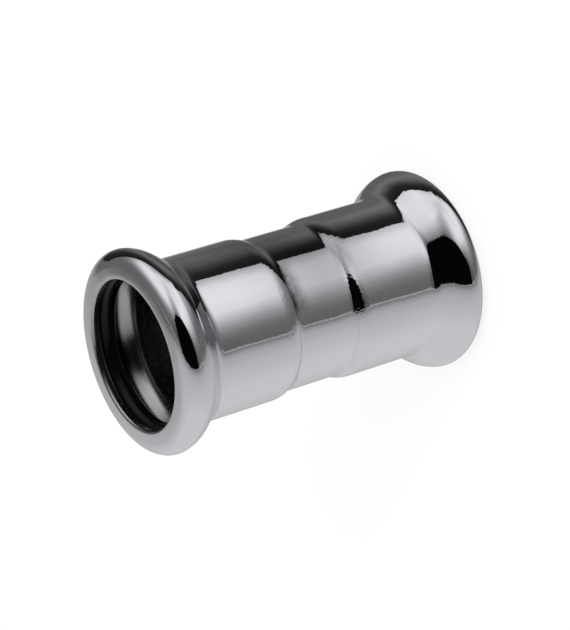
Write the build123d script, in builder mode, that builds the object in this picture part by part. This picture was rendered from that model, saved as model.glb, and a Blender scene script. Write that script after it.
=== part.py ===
from build123d import *
from math import atan2, cos, hypot, radians, sin, tan
import os

# Straight press coupling for steel pipe of 22 mm. It is one tube, formed with a socket and a
# rolled bead at each end and a narrower neck between them, and each bead holds a rubber ring.
# It stands on one end: +Z is its axis, and the origin is the middle of its run. Millimetres.

# The pipe, the socket that takes it and the tube's wall
pipe_radius = 11.0
socket_clearance = 0.15  # between the pipe and the socket bore
wall = 1.5

# Lengths along the axis
overall_length = 54.2
neck_half_length = 4.83  # from the middle to the corner where the neck starts to widen
ramp_length = 1.37

# The neck, which stops the pipe
stop_depth = 0.7  # how far the neck is drawn in from the sockets
neck_blend = 1.7  # outside rounding where the ramp leaves the neck
ramp_straight = 0.04  # what stays straight between that rounding and the socket's

# The rubber ring in each bead
ring_cord = 2.9
ring_slip = 0.1  # between the pipe and the ring
ring_play = 0.02  # between the ring and the front and the back of the bead
ring_headroom = 0.3  # between the ring and the top of the bead

# The bead
crest_lead = 0.62  # the crest lies this far outward of the middle of the ring
crest_turn = 13.0  # degrees, how far the front's rounding runs on behind the crest
flank_slope = 40.0  # degrees, how steeply the back of the bead rises from the socket
root_blend = 2.1  # outside rounding where it leaves the socket
mouth_clearance = 0.55  # between the pipe and the mouth
lip_blend = 0.45  # rounding of both corners of the cut edge at the mouth

# Radii and heights that follow
half_length = overall_length / 2
bore_radius = pipe_radius + socket_clearance
socket_radius = bore_radius + wall
neck_radius = socket_radius - stop_depth
ramp_end = neck_half_length + ramp_length
mouth_radius = pipe_radius + mouth_clearance

cord_radius = ring_cord / 2
ring_radius = pipe_radius + ring_slip + cord_radius
ring_height = half_length - wall - ring_play - cord_radius
crest_radius = ring_radius + cord_radius + ring_headroom + wall
crest_height = ring_height + crest_lead
front_blend = half_length - crest_height

# The ramp's own rounding into the socket takes what the neck's rounding leaves of the ramp
ramp_slope = atan2(stop_depth, ramp_length)
shoulder_blend = (hypot(stop_depth, ramp_length) - ramp_straight) / tan(ramp_slope / 2) - neck_blend

# The back of the bead is a straight flank and a wide arc that runs on from it to the front's
# rounding. Inside the wall the arc passes ring_play behind the ring, which settles its radius.
turn = radians(crest_turn)
slope = radians(flank_slope)
crest_reach = crest_radius - front_blend - ring_radius
room = crest_reach * cos(turn) - crest_lead * (1 + sin(turn))
back_arc = front_blend + crest_reach**2 / (2 * room)
back_centre_radius = crest_radius - front_blend - (back_arc - front_blend) * cos(turn)
back_centre_height = crest_height + (back_arc - front_blend) * sin(turn)
flank_top_radius = back_centre_radius + back_arc * cos(slope)
flank_top_height = back_centre_height - back_arc * sin(slope)
root_height = flank_top_height - (flank_top_radius - socket_radius) / tan(slope)

os.makedirs("parts", exist_ok=True)

# The outside of one half is drawn from the middle to the mouth, and the wall is laid inside it
with BuildPart() as coupling_body:
    with BuildSketch(Plane.XZ) as half_section:
        with BuildLine():
            FilletPolyline(
                (neck_radius, 0),
                (neck_radius, neck_half_length),
                (socket_radius, ramp_end),
                (socket_radius, root_height),
                (flank_top_radius, flank_top_height),
                radius=[neck_blend, shoulder_blend, root_blend],
            )
            back_centre = (back_centre_radius, back_centre_height)
            CenterArc(back_centre, back_arc, -flank_slope, flank_slope - crest_turn)
            front_centre = (crest_radius - front_blend, crest_height)
            front = CenterArc(front_centre, front_blend, -crest_turn, 90 + crest_turn)
            Line(front @ 1, (mouth_radius, half_length))
            offset(amount=wall, side=Side.LEFT)
        make_face()
        end_corners = half_section.vertices().sort_by(Axis.Y)[-4:]
        fillet(end_corners.sort_by(Axis.X)[:2], radius=lip_blend)
    revolve(axis=Axis.Z)
    mirror(about=Plane.XY)
coupling_body.part.label = "coupling_body"
export_step(coupling_body.part, "parts/coupling_body.step")

# The rings are alike, one behind the front wall of each bead
for label, height in (("upper_seal_ring", ring_height), ("lower_seal_ring", -ring_height)):
    with BuildPart() as seal_ring:
        with BuildSketch(Plane.XZ):
            with Locations((ring_radius, height)):
                Circle(cord_radius)
        revolve(axis=Axis.Z)
    seal_ring.part.label = label
    export_step(seal_ring.part, f"parts/{label}.step")
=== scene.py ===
from math import cos, radians, sin

import bpy
from mathutils import Matrix, Vector


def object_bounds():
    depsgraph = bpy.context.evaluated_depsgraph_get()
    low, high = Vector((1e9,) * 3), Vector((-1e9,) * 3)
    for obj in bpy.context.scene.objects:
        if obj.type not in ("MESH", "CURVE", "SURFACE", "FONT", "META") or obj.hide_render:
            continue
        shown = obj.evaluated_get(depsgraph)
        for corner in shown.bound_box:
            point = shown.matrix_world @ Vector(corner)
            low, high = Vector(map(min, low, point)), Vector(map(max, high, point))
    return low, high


# Straight press coupling for 22 mm steel pipe: a zinc plated tube with a rubber ring in each bead.
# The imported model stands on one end, +Z is its axis, and everything here is in metres.
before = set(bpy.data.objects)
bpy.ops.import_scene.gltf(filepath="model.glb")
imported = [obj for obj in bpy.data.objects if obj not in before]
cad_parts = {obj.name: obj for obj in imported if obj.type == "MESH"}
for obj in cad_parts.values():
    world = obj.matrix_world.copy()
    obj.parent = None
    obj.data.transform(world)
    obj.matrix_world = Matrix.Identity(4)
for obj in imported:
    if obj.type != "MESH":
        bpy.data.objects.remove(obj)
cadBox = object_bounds()
print("frame loaded:", ", ".join(sorted(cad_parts)))

mm = 0.001
white = (1, 1, 1, 1)
black = (0, 0, 0, 1)


def hexToLinear(code):
    channels = [int(code[i:i + 2], 16) / 255 for i in (1, 3, 5)]
    linear = [c / 12.92 if c <= 0.04045 else ((c + 0.055) / 1.055) ** 2.4 for c in channels]
    return (*linear, 1.0)


def addNode(tree, kind, inputs=None, stops=None, **settings):
    node = tree.nodes.new("ShaderNode" + kind)
    for name, value in settings.items():
        setattr(node, name, value)
    for socket, value in (inputs or {}).items():
        if isinstance(value, bpy.types.Node):
            value = value.outputs[0]
        if isinstance(value, bpy.types.NodeSocket):
            tree.links.new(value, node.inputs[socket])
        else:
            node.inputs[socket].default_value = value
    for index, (place, colour) in enumerate(stops or []):
        if index > 1:
            node.color_ramp.elements.new(place)
        node.color_ramp.elements[index].position = place
        node.color_ramp.elements[index].color = hexToLinear(colour)
    return node


# Camera. It looks down on the standing coupling and is rolled, so that it lies across the picture.
cameraView = {
    "azimuth": 0.0,  # degrees, 0 looks along +Y
    "elevation": 30.07,
    "roll": -107.17,
    "distance": 395.87 * mm,
    "aside": (0.11 * mm, -0.85 * mm),  # to the right and up in the picture
    "lens": 148.58,
    "sensor": 36.0,
    "clip": (10 * mm, 20.0),
}


def setUpCamera(view):
    data = bpy.data.cameras.new("camera")
    data.lens = view["lens"]
    data.sensor_width = view["sensor"]
    data.clip_start, data.clip_end = view["clip"]
    turn = Matrix.Rotation(radians(view["azimuth"]), 4, "Z")
    turn = turn @ Matrix.Rotation(radians(90 - view["elevation"]), 4, "X")
    turn = turn @ Matrix.Rotation(radians(view["roll"]), 4, "Z")
    place = turn @ Vector((*view["aside"], view["distance"]))
    cameraObject = bpy.data.objects.new("camera", data)
    cameraObject.matrix_world = Matrix.Translation(place) @ turn
    bpy.context.scene.collection.objects.link(cameraObject)
    bpy.context.scene.camera = cameraObject
    return turn


cameraTurn = setUpCamera(cameraView)
print("camera set")


# Studio. The plating mirrors a product table, as it does with the coupling lying on it: a pale
# table up to the horizon, soft walls, a dark card behind and a black gap toward the camera.
# Heights are degrees over or under the horizon, and sides are degrees around from the camera,
# to the right. The shades are those seen in the plating.
studio = {
    "lookDown": 26.9,  # degrees, how far the camera looks down on the table
    "returned": 0.71,  # the share of the light that the plating returns
    "horizon": -0.8,
    "horizonBlur": 0.5,
    "walls": {0: "#5f5f5f", 12: "#656565", 20: "#777777", 28: "#959595", 36: "#bababa",
              44: "#d8d8d8", 56: "#e2e2e2", 66: "#dcdcdc", 76: "#d8d8d8", 90: "#c2c2c2"},
    "backWalls": {"light": 0.45, "sides": (115, 165), "heights": (60, 78)},  # light is the share left
    "overGap": {45: "#545454", 50: "#707070", 54: "#868686", 60: "#9b9b9b", 68: "#b0b0b0",
                76: "#bdbdbd", 90: "#c2c2c2"},
    "gapMiddle": -8,
    "gapSides": (6, 45),  # from its middle, where the walls' own shades take over
    "besideGap": {"light": 0.6, "sides": (68, 48), "heights": (50, 28)},
    "table": {0: "#616161", 2.5: "#717171", 6: "#939393", 12: "#a7a7a7", 25: "#b4b4b4",
              50: "#c3c3c3", 90: "#c0c0c0"},
    "backTable": {"light": 0.7, "sides": (115, 160), "heights": (-30, -75)},
    "nearEdge": {"side": -111, "width": 34, "drop": 20},  # the table ends nearer on the left
    "tableEdge": {"shade": "#9c9c9c", "halfHeight": 0.9, "blur": 0.7, "sides": (100, 70)},
    "plainLight": 0.8,
}
studioTurn = cameraTurn @ Matrix.Rotation(radians(studio["lookDown"]), 4, "X")


def rampStops(shades):
    return [(degrees / 90, shade) for degrees, shade in shades.items()]


# Where a ray goes, as degrees over the horizon and degrees around from the camera
def addDirection(tree):
    direction = addNode(tree, "TexCoord").outputs["Generated"]
    parts = []
    for axis in studioTurn.to_3x3().col:
        dot = addNode(tree, "VectorMath", {0: direction, 1: axis}, operation="DOT_PRODUCT")
        parts.append(dot.outputs["Value"])
    right, up, toward = parts
    height = addNode(tree, "Math", {0: up}, operation="ARCSINE")
    height = addNode(tree, "Math", {0: height}, operation="DEGREES")
    around = addNode(tree, "Math", {0: right, 1: toward}, operation="ARCTAN2")
    around = addNode(tree, "Math", {0: around}, operation="DEGREES")
    return height, around


# Dims the shade on the side behind the coupling, less and less toward straight up or straight down
def dimBehind(tree, look, shade, height, side):
    start, end = look["sides"]
    dim = addNode(tree, "MapRange", {"Value": side, "From Min": start, "From Max": end,
                                     "To Min": 1.0, "To Max": look["light"]},
                  interpolation_type="SMOOTHSTEP")
    start, end = look["heights"]
    bright = addNode(tree, "MapRange", {"Value": height, "From Min": start, "From Max": end},
                     interpolation_type="SMOOTHSTEP")
    dim = addNode(tree, "Mix", {0: bright, 2: dim, 3: 1.0})
    return addNode(tree, "VectorMath", {0: shade, 1: dim}, operation="MULTIPLY")


# The walls, darker over the card behind, duller over the gap and darker low down beside it
def addWalls(tree, look, height, around):
    side = addNode(tree, "Math", {0: around}, operation="ABSOLUTE")
    rise = addNode(tree, "Math", {0: height, 1: 90.0}, operation="DIVIDE")
    walls = addNode(tree, "ValToRGB", {"Fac": rise}, rampStops(look["walls"]))
    walls = dimBehind(tree, look["backWalls"], walls, height, side)
    overGap = addNode(tree, "ValToRGB", {"Fac": rise}, rampStops(look["overGap"]))
    fromGap = addNode(tree, "Math", {0: around, 1: look["gapMiddle"]}, operation="SUBTRACT")
    fromGap = addNode(tree, "Math", {0: fromGap}, operation="ABSOLUTE")
    start, end = look["gapSides"]
    fromGap = addNode(tree, "MapRange", {"Value": fromGap, "From Min": start, "From Max": end},
                      interpolation_type="SMOOTHSTEP")
    shade = addNode(tree, "Mix", {0: fromGap, 6: overGap, 7: walls}, data_type="RGBA").outputs[2]
    beside = look["besideGap"]
    start, end = beside["heights"]
    low = addNode(tree, "MapRange", {"Value": height, "From Min": start, "From Max": end},
                  interpolation_type="SMOOTHSTEP")
    start, end = beside["sides"]
    close = addNode(tree, "MapRange", {"Value": side, "From Min": start, "From Max": end},
                    interpolation_type="SMOOTHSTEP")
    dim = addNode(tree, "Math", {0: low, 1: close}, operation="MULTIPLY")
    dim = addNode(tree, "MapRange", {"Value": dim, "To Min": 1.0, "To Max": beside["light"]})
    return addNode(tree, "VectorMath", {0: shade, 1: dim}, operation="MULTIPLY")


# The table below the horizon. Where it ends nearer, the horizon drops.
def addTable(tree, look, height, around):
    side = addNode(tree, "Math", {0: around}, operation="ABSOLUTE")
    edge = look["nearEdge"]
    drop = addNode(tree, "Math", {0: around, 1: edge["side"]}, operation="SUBTRACT")
    drop = addNode(tree, "Math", {0: drop, 1: edge["width"]}, operation="DIVIDE")
    drop = addNode(tree, "Math", {0: drop, 1: drop}, operation="MULTIPLY")
    drop = addNode(tree, "Math", {0: drop, 1: -1.0}, operation="MULTIPLY")
    drop = addNode(tree, "Math", {0: drop}, operation="EXPONENT")
    drop = addNode(tree, "Math", {0: drop, 1: edge["drop"]}, operation="MULTIPLY")
    fall = addNode(tree, "Math", {0: height, 1: drop}, operation="ADD")
    fall = addNode(tree, "Math", {0: fall, 1: -90.0}, operation="DIVIDE")
    table = addNode(tree, "ValToRGB", {"Fac": fall}, rampStops(look["table"]))
    return dimBehind(tree, look["backTable"], table, height, side)


# The table's edge shows as a thin bright line on the horizon
def addTableEdge(tree, look, shade, height, around):
    edge = look["tableEdge"]
    side = addNode(tree, "Math", {0: around}, operation="ABSOLUTE")
    line = addNode(tree, "Math", {0: height, 1: look["horizon"]}, operation="SUBTRACT")
    line = addNode(tree, "Math", {0: line}, operation="ABSOLUTE")
    line = addNode(tree, "MapRange", {"Value": line, "From Min": edge["halfHeight"] + edge["blur"],
                                      "From Max": edge["halfHeight"] - edge["blur"]})
    start, end = edge["sides"]
    lit = addNode(tree, "MapRange", {"Value": side, "From Min": start, "From Max": end})
    line = addNode(tree, "Math", {0: line, 1: lit}, operation="MULTIPLY")
    return addNode(tree, "Mix", {0: line, 6: shade, 7: hexToLinear(edge["shade"])},
                   data_type="RGBA").outputs[2]


def setUpWorld(look):
    world = bpy.data.worlds.new("studio")
    world.use_nodes = True
    world.cycles.sampling_method = "NONE"
    bpy.context.scene.world = world
    tree = world.node_tree
    tree.nodes.clear()
    height, around = addDirection(tree)
    walls = addWalls(tree, look, height, around)
    table = addTable(tree, look, height, around)
    horizon, blur = look["horizon"], look["horizonBlur"]
    overTable = addNode(tree, "MapRange", {"Value": height, "From Min": horizon - blur,
                                           "From Max": horizon + blur}, interpolation_type="SMOOTHSTEP")
    shade = addNode(tree, "Mix", {0: overTable, 6: table, 7: walls}, data_type="RGBA").outputs[2]
    shade = addTableEdge(tree, look, shade, height, around)

    # The camera sees white behind the coupling, mirrors see the studio, the rest is plain light
    path = addNode(tree, "LightPath")
    mirrored = addNode(tree, "Math", {0: path.outputs["Is Glossy Ray"],
                                      1: path.outputs["Is Transmission Ray"]}, operation="MAXIMUM")
    studioLight = addNode(tree, "Background", {"Color": shade, "Strength": 1 / look["returned"]})
    plainLight = addNode(tree, "Background", {"Color": white, "Strength": look["plainLight"]})
    whiteSheet = addNode(tree, "Background", {"Color": white, "Strength": 1.0})
    light = addNode(tree, "MixShader", {0: mirrored, 1: plainLight, 2: studioLight})
    light = addNode(tree, "MixShader", {0: path.outputs["Is Camera Ray"], 1: light, 2: whiteSheet})
    addNode(tree, "OutputWorld", {"Surface": light})


setUpWorld(studio)

# Each card stands upright like an arch, with its turn and lean in degrees. Its shades run from the
# middle of its foot, at 0, out to its edge, at 1.
studioCards = {
    "dark_card": {
        "toward": -70.5 * mm,  # from the coupling toward the camera
        "right": 2.65 * mm,
        "halfWidth": 125 * mm,
        "height": 179 * mm,
        "roundness": 1.65,
        "turn": 3.9,
        "lean": -1.3,
        "shades": [(0.0, "#545454"), (0.2, "#5c5c5c"), (0.27, "#6a6a6a"), (0.32, "#676767"),
                   (0.38, "#5b5b5b"), (0.5, "#3e3e3e"), (0.6, "#292929"), (0.75, "#1f1f1f"),
                   (1.0, "#1b1b1b")],
        "softEdge": 0.015,
    },
    "black_gap": {
        "toward": 180 * mm,
        "right": 2.4 * mm,
        "halfWidth": 175 * mm,
        "height": 218 * mm,
        "roundness": 2.15,
        "turn": 0.0,
        "lean": 0.0,
        "shades": [(0.0, "#050505"), (1.0, "#050505")],
        "softEdge": 0.03,
    },
}


def addSheet(name, wide, low, high, place):
    mesh = bpy.data.meshes.new(name)
    corners = [(-wide, low, 0), (wide, low, 0), (wide, high, 0), (-wide, high, 0)]
    mesh.from_pydata(corners, [], [(0, 1, 2, 3)])
    sheet = bpy.data.objects.new(name, mesh)
    sheet.matrix_world = place
    bpy.context.scene.collection.objects.link(sheet)
    material = bpy.data.materials.new(name)
    material.use_nodes = True
    material.cycles.emission_sampling = "NONE"
    material.node_tree.nodes.clear()
    mesh.materials.append(material)
    return sheet, material.node_tree


def showToMirrorsOnly(sheet):
    sheet.visible_camera = False
    sheet.visible_diffuse = False
    sheet.visible_shadow = False


def addCard(name, card):
    place = Matrix.Translation((card["right"], 0, card["toward"]))
    turn = Matrix.Rotation(radians(card["turn"]), 4, "Y") @ Matrix.Rotation(radians(card["lean"]), 4, "X")
    wide, high = card["halfWidth"], card["height"]
    margin = 1.1  # the sheet is cut larger than the arch on it
    sheet, tree = addSheet(name, wide * margin, 0, high * margin, studioTurn @ place @ turn)
    place = addNode(tree, "SeparateXYZ", {0: addNode(tree, "TexCoord").outputs["Object"]})
    across = addNode(tree, "Math", {0: place.outputs["X"]}, operation="ABSOLUTE")
    across = addNode(tree, "Math", {0: across, 1: wide}, operation="DIVIDE")
    across = addNode(tree, "Math", {0: across, 1: card["roundness"]}, operation="POWER")
    rise = addNode(tree, "Math", {0: place.outputs["Y"], 1: high}, operation="DIVIDE")
    rise = addNode(tree, "Math", {0: rise, 1: card["roundness"]}, operation="POWER")
    reach = addNode(tree, "Math", {0: across, 1: rise}, operation="ADD")
    reach = addNode(tree, "Math", {0: reach, 1: 1 / card["roundness"]}, operation="POWER")
    shade = addNode(tree, "ValToRGB", {"Fac": reach}, card["shades"])
    glow = addNode(tree, "Emission", {"Color": shade, "Strength": 1 / studio["returned"]})
    outside = addNode(tree, "MapRange", {"Value": reach, "From Min": 1 - card["softEdge"],
                                         "From Max": 1 + card["softEdge"]}, interpolation_type="SMOOTHSTEP")
    cut = addNode(tree, "MixShader", {0: outside, 1: glow, 2: addNode(tree, "BsdfTransparent")})
    addNode(tree, "OutputMaterial", {"Surface": cut})
    showToMirrorsOnly(sheet)


for cardName, studioCard in studioCards.items():
    addCard(cardName, studioCard)

# A gauze strip hangs across over the neck and takes some of the walls' light from it
gauzeStrip = {
    "place": (1.8 * mm, 18.5 * mm, -3.9 * mm),  # right, up and toward the camera in the studio
    "turn": -25.0,  # degrees, as its lean and its roll
    "lean": 77.0,
    "roll": 11.8,
    "halfWidth": 33.0 * mm,
    "halfHeight": 8.4 * mm,
    "thinOut": 2.2,  # half widths from the middle, where nothing is left of it
    "shade": 0.46,
}


def addGauze(strip):
    turn = Matrix.Rotation(radians(strip["turn"]), 4, "Y") @ Matrix.Rotation(radians(strip["lean"]), 4, "X")
    turn = turn @ Matrix.Rotation(radians(strip["roll"]), 4, "Z")
    place = studioTurn @ Matrix.Translation(strip["place"]) @ turn
    wide = strip["halfWidth"] * strip["thinOut"]
    high = strip["halfHeight"] * strip["thinOut"]
    sheet, tree = addSheet("gauze_strip", wide, -high, high, place)
    place = addNode(tree, "VectorMath", {0: addNode(tree, "TexCoord").outputs["Object"],
                                         1: (1 / strip["halfWidth"], 1 / strip["halfHeight"], 0)},
                    operation="MULTIPLY")
    off = addNode(tree, "VectorMath", {0: place, 1: place}, operation="DOT_PRODUCT").outputs["Value"]
    off = addNode(tree, "Math", {0: off, 1: -1.0}, operation="MULTIPLY")
    cover = addNode(tree, "Math", {0: off}, operation="EXPONENT")
    cover = addNode(tree, "Math", {0: cover, 1: strip["shade"]}, operation="MULTIPLY")
    thread = addNode(tree, "Emission", {"Color": black, "Strength": 0.0})
    gauze = addNode(tree, "MixShader", {0: cover, 1: addNode(tree, "BsdfTransparent"), 2: thread})
    addNode(tree, "OutputMaterial", {"Surface": gauze})
    showToMirrorsOnly(sheet)


addGauze(gauzeStrip)

floorSheet = {
    "size": 6.0,
    "colour": "#f2f2f2",
    "glow": 0.79,
    "matt": 0.28,  # how much of the paper takes light and shadow
}


def addFloor(look):
    half = look["size"] / 2
    floor, tree = addSheet("white_paper_floor", half, -half, half, Matrix.Translation((0, 0, cadBox[0][2])))
    path = addNode(tree, "LightPath")
    seen = addNode(tree, "Math", {0: path.outputs["Is Camera Ray"],
                                  1: path.outputs["Is Glossy Ray"]}, operation="MAXIMUM")
    seen = addNode(tree, "Math", {0: seen, 1: path.outputs["Is Transmission Ray"]}, operation="MAXIMUM")
    strength = addNode(tree, "Math", {0: seen, 1: look["glow"]}, operation="MULTIPLY")
    glow = addNode(tree, "Emission", {"Color": white, "Strength": strength})
    paper = addNode(tree, "BsdfDiffuse", {"Color": hexToLinear(look["colour"])})
    dark = addNode(tree, "BsdfDiffuse", {"Color": black})
    sheet = addNode(tree, "MixShader", {0: look["matt"], 1: dark, 2: paper})
    sheet = addNode(tree, "AddShader", {0: sheet, 1: glow})
    addNode(tree, "OutputMaterial", {"Surface": sheet})
    floor.visible_glossy = False


addFloor(floorSheet)

softbox = {
    "size": 0.5,
    "distance": 0.8,
    "watts": 2.2,
    "toward": (-0.3, 0.75, 0.6),  # right, up and toward the camera in the studio
}


def addSoftbox(lamp):
    data = bpy.data.lights.new("softbox", "AREA")
    data.shape = "DISK"
    data.size = lamp["size"]
    data.energy = lamp["watts"]
    lampObject = bpy.data.objects.new("softbox", data)
    place = studioTurn.to_3x3() @ Vector(lamp["toward"]).normalized() * lamp["distance"]
    turn = (-place).to_track_quat("-Z", "Y").to_matrix().to_4x4()
    lampObject.matrix_world = Matrix.Translation(place) @ turn
    lampObject.visible_glossy = False
    bpy.context.scene.collection.objects.link(lampObject)


addSoftbox(softbox)
bpy.context.scene.view_settings.view_transform = "Standard"
print("studio lit")


# Bright zinc plated steel. The tube is drawn and cold formed, then plated and passivated: outside
# it is almost a mirror with a slight lilac cast, and the forming leaves faint waves. The plating
# hardly reaches the inside, which stays duller. Reaches along the axis are counted from the middle.
brightZincPlate = {
    "colour": "#dad9de",
    "insideColour": "#a7a6a8",
    "roughness": 0.035,
    "insideRoughness": 0.22,
    "insideFacing": (-0.1, -0.5),  # how far outward a face looks, 1 is straight out
    "waveLength": 8.0 * mm,
    "waveHeight": 0.12 * mm,
    "peelSize": 0.35 * mm,  # unevenness of the plating, drawn coarse enough to show
    "peelHeight": 0.003 * mm,
    "lip": (12.0 * mm, 14.6 * mm),  # radii between which the rolled end is slightly domed
    "lipFrom": 0.9,  # of the half length
    "lipHeight": 0.139 * mm,
    "creaseAt": 5.2 * mm,  # a line of painted shade where the ramp leaves the neck
    "creaseWidth": 0.14 * mm,
    "creaseShade": (0.12, 0.5),  # how dark the painted shade in the crease is, at the lower and the upper end of the neck
    "shadeCloudSide": 15.0,  # degrees around from -Y, a cloud of painted shade at the upper end of the neck
    "shadeCloudReach": (25.0, 12.0),  # degrees to either side, from nothing to its darkest
    "shadeCloudEnds": (2.2 * mm, 4.8 * mm, 5.0 * mm, 5.6 * mm),  # where it comes and goes along the axis
    "shadeCloudPatch": 1.6 * mm,
    "shadeCloudDepth": (0.31, 0.93),  # how dark the painted shade is in its thin and its thick patches
    "rampEnds": (4.2 * mm, 5.0 * mm, 6.6 * mm, 8.0 * mm),  # where marks and pits come and go
    "markSize": 0.5 * mm,
    "markHeight": 0.022 * mm,
    "pitSpacing": 1.5 * mm,
    "pitEdge": (0.05, 0.25),  # shares of the spacing
    "pitDepth": 0.01 * mm,
}


# Comes up from 0 to 1 between start and full, and goes back to 0 between fade and end
def comeAndGo(tree, value, ends):
    start, full, fade, end = ends
    come = addNode(tree, "MapRange", {"Value": value, "From Min": start, "From Max": full})
    go = addNode(tree, "MapRange", {"Value": value, "From Min": end, "From Max": fade})
    return addNode(tree, "Math", {0: come, 1: go}, operation="MULTIPLY")


# The end is slightly domed between its lip and its rounding
def addDome(tree, look, place, along):
    radius = addNode(tree, "VectorMath", {0: place, 1: (1, 1, 0)}, operation="MULTIPLY")
    radius = addNode(tree, "VectorMath", {0: radius}, operation="LENGTH").outputs["Value"]
    atEnd = addNode(tree, "Math", {0: along, 1: cadBox[1][2] * look["lipFrom"]}, operation="GREATER_THAN")
    start, end = look["lip"]
    dome = addNode(tree, "MapRange", {"Value": radius, "From Min": start, "From Max": end,
                                      "To Min": 1.0, "To Max": 0.0}, interpolation_type="SMOOTHSTEP")
    return addNode(tree, "Math", {0: dome, 1: atEnd}, operation="MULTIPLY")


# Painted shade in the crease where the ramp leaves the neck
def addCreaseShade(tree, look, axial, along):
    crease = addNode(tree, "Math", {0: along, 1: look["creaseAt"]}, operation="SUBTRACT")
    crease = addNode(tree, "Math", {0: crease}, operation="ABSOLUTE")
    crease = addNode(tree, "MapRange", {"Value": crease, "From Min": look["creaseWidth"], "From Max": 0.0},
                     interpolation_type="SMOOTHSTEP")
    lower, upper = look["creaseShade"]
    paintedShade = addNode(tree, "MapRange", {"Value": axial, "From Min": -1 * mm, "From Max": 1 * mm,
                                      "To Min": lower, "To Max": upper})
    return addNode(tree, "Math", {0: crease, 1: paintedShade}, operation="MULTIPLY")


# A cloudy patch of painted shade on one side of the neck's upper end
def addShadeCloud(tree, look, place, outward, axial):
    side = radians(look["shadeCloudSide"])
    shadeSpot = addNode(tree, "VectorMath", {0: outward, 1: (sin(side), -cos(side), 0)}, operation="DOT_PRODUCT")
    start, full = (cos(radians(degrees)) for degrees in look["shadeCloudReach"])
    shadeSpot = addNode(tree, "MapRange", {"Value": shadeSpot.outputs["Value"], "From Min": start, "From Max": full},
                   interpolation_type="SMOOTHSTEP")
    atEnd = comeAndGo(tree, axial, look["shadeCloudEnds"])
    shadeSpot = addNode(tree, "Math", {0: shadeSpot, 1: atEnd}, operation="MULTIPLY")
    cloud = addNode(tree, "TexNoise", {"Vector": place, "Scale": 1 / look["shadeCloudPatch"], "Detail": 3.0})
    thin, thick = look["shadeCloudDepth"]
    cloud = addNode(tree, "MapRange", {"Value": cloud, "From Min": 0.3, "From Max": 0.7,
                                       "To Min": thin, "To Max": thick})
    return addNode(tree, "Math", {0: shadeSpot, 1: cloud}, operation="MULTIPLY")


# The drawing tool's marks on the ramps, and pits between them
def addRampMarks(tree, look, place, along):
    onRamp = comeAndGo(tree, along, look["rampEnds"])
    marks = addNode(tree, "TexNoise", {"Vector": place, "Scale": 1 / look["markSize"], "Detail": 2.0})
    marks = addNode(tree, "Math", {0: marks, 1: 0.5}, operation="SUBTRACT")
    marks = addNode(tree, "Math", {0: marks, 1: onRamp}, operation="MULTIPLY")
    pits = addNode(tree, "TexVoronoi", {"Vector": place, "Scale": 1 / look["pitSpacing"]})
    start, end = look["pitEdge"]
    pits = addNode(tree, "MapRange", {"Value": pits.outputs["Distance"], "From Min": start,
                                      "From Max": end}, interpolation_type="SMOOTHSTEP")
    pits = addNode(tree, "Math", {0: pits, 1: 1.0}, operation="SUBTRACT")
    pits = addNode(tree, "Math", {0: pits, 1: onRamp}, operation="MULTIPLY")
    return marks, pits


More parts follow.
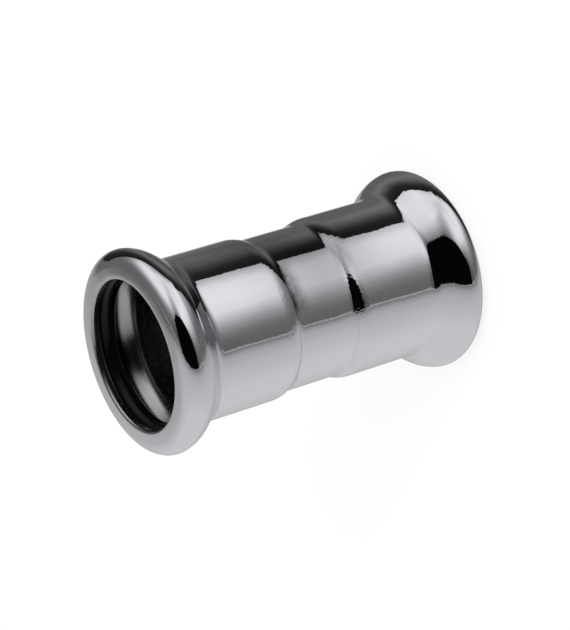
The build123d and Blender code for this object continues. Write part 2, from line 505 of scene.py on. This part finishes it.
def makeBrightZincPlate(look):
    material = bpy.data.materials.new("bright_zinc_plated_steel")
    material.use_nodes = True
    tree = material.node_tree
    tree.nodes.clear()
    coords = addNode(tree, "TexCoord")
    place = coords.outputs["Object"]
    axial = addNode(tree, "SeparateXYZ", {0: place}).outputs["Z"]
    along = addNode(tree, "Math", {0: axial}, operation="ABSOLUTE")
    outward = addNode(tree, "VectorMath", {0: place, 1: (1, 1, 0)}, operation="MULTIPLY")
    outward = addNode(tree, "VectorMath", {0: outward}, operation="NORMALIZE")

    # Inside faces look toward the axis
    facing = addNode(tree, "VectorMath", {0: outward, 1: coords.outputs["Normal"]}, operation="DOT_PRODUCT")
    start, end = look["insideFacing"]
    inside = addNode(tree, "MapRange", {"Value": facing.outputs["Value"], "From Min": start,
                                        "From Max": end})
    outside = addNode(tree, "Math", {0: 1.0, 1: inside}, operation="SUBTRACT")

    dome = addDome(tree, look, place, along)
    waves = addNode(tree, "TexNoise", {"Vector": place, "Scale": 1 / look["waveLength"], "Detail": 1.0})
    marks, pits = addRampMarks(tree, look, place, along)
    peel = addNode(tree, "TexNoise", {"Vector": place, "Scale": 1 / look["peelSize"], "Detail": 1.0})
    peel = addNode(tree, "Math", {0: peel, 1: outside}, operation="MULTIPLY")
    bump = None
    for form, height in ((dome, "lipHeight"), (waves, "waveHeight"), (marks, "markHeight"),
                         (pits, "pitDepth"), (peel, "peelHeight")):
        inputs = {"Height": form, "Distance": look[height]}
        if bump:
            inputs["Normal"] = bump
        bump = addNode(tree, "Bump", inputs)

    colour = addNode(tree, "Mix", {0: inside, 6: hexToLinear(look["colour"]),
                                   7: hexToLinear(look["insideColour"])}, data_type="RGBA").outputs[2]
    # Painted shade in the crease and on the neck's upper end darkens the plating's colour
    for paintedShade in (addCreaseShade(tree, look, axial, along), addShadeCloud(tree, look, place, outward, axial)):
        unshaded = addNode(tree, "Math", {0: 1.0, 1: paintedShade}, operation="SUBTRACT")
        colour = addNode(tree, "VectorMath", {0: colour, 1: unshaded}, operation="MULTIPLY")
    roughness = addNode(tree, "MapRange", {"Value": inside, "To Min": look["roughness"],
                                           "To Max": look["insideRoughness"]})
    plate = addNode(tree, "BsdfPrincipled", {
        "Base Color": colour,
        "Metallic": 1.0,
        "Roughness": roughness,
        "Normal": bump,
    })
    addNode(tree, "OutputMaterial", {"Surface": plate})
    return material


# Moulded rubber. The ring is pressed from black EPDM and lightly greased, so it is nearly black
# with a soft sheen.
mouldedRubber = {
    "colour": "#070707",
    "roughness": (0.16, 0.32),  # in the grain's low and high places
    "shine": 0.15,
    "grease": 0.05,
    "greaseRoughness": 0.1,
    "grain": 0.25 * mm,  # the real one is finer, and wouldn't show
    "grainHeight": 0.004 * mm,
}


def makeMouldedRubber(look):
    material = bpy.data.materials.new("moulded_black_rubber")
    material.use_nodes = True
    tree = material.node_tree
    tree.nodes.clear()
    place = addNode(tree, "TexCoord").outputs["Object"]
    grain = addNode(tree, "TexNoise", {"Vector": place, "Scale": 1 / look["grain"], "Detail": 2.0})
    bump = addNode(tree, "Bump", {"Height": grain, "Distance": look["grainHeight"]})
    low, high = look["roughness"]
    roughness = addNode(tree, "MapRange", {"Value": grain, "To Min": low, "To Max": high})
    rubber = addNode(tree, "BsdfPrincipled", {
        "Base Color": hexToLinear(look["colour"]),
        "Roughness": roughness,
        "IOR": 1.5,
        "Specular IOR Level": look["shine"],
        "Coat Weight": look["grease"],
        "Coat Roughness": look["greaseRoughness"],
        "Normal": bump,
    })
    addNode(tree, "OutputMaterial", {"Surface": rubber})
    return material


zincPlate = makeBrightZincPlate(brightZincPlate)
blackRubber = makeMouldedRubber(mouldedRubber)
finishes = {
    "coupling_body": zincPlate,
    "upper_seal_ring": blackRubber,
    "lower_seal_ring": blackRubber,
}
for nodeName, finish in finishes.items():
    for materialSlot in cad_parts[nodeName].material_slots:
        materialSlot.material = finish
print("finishes applied")
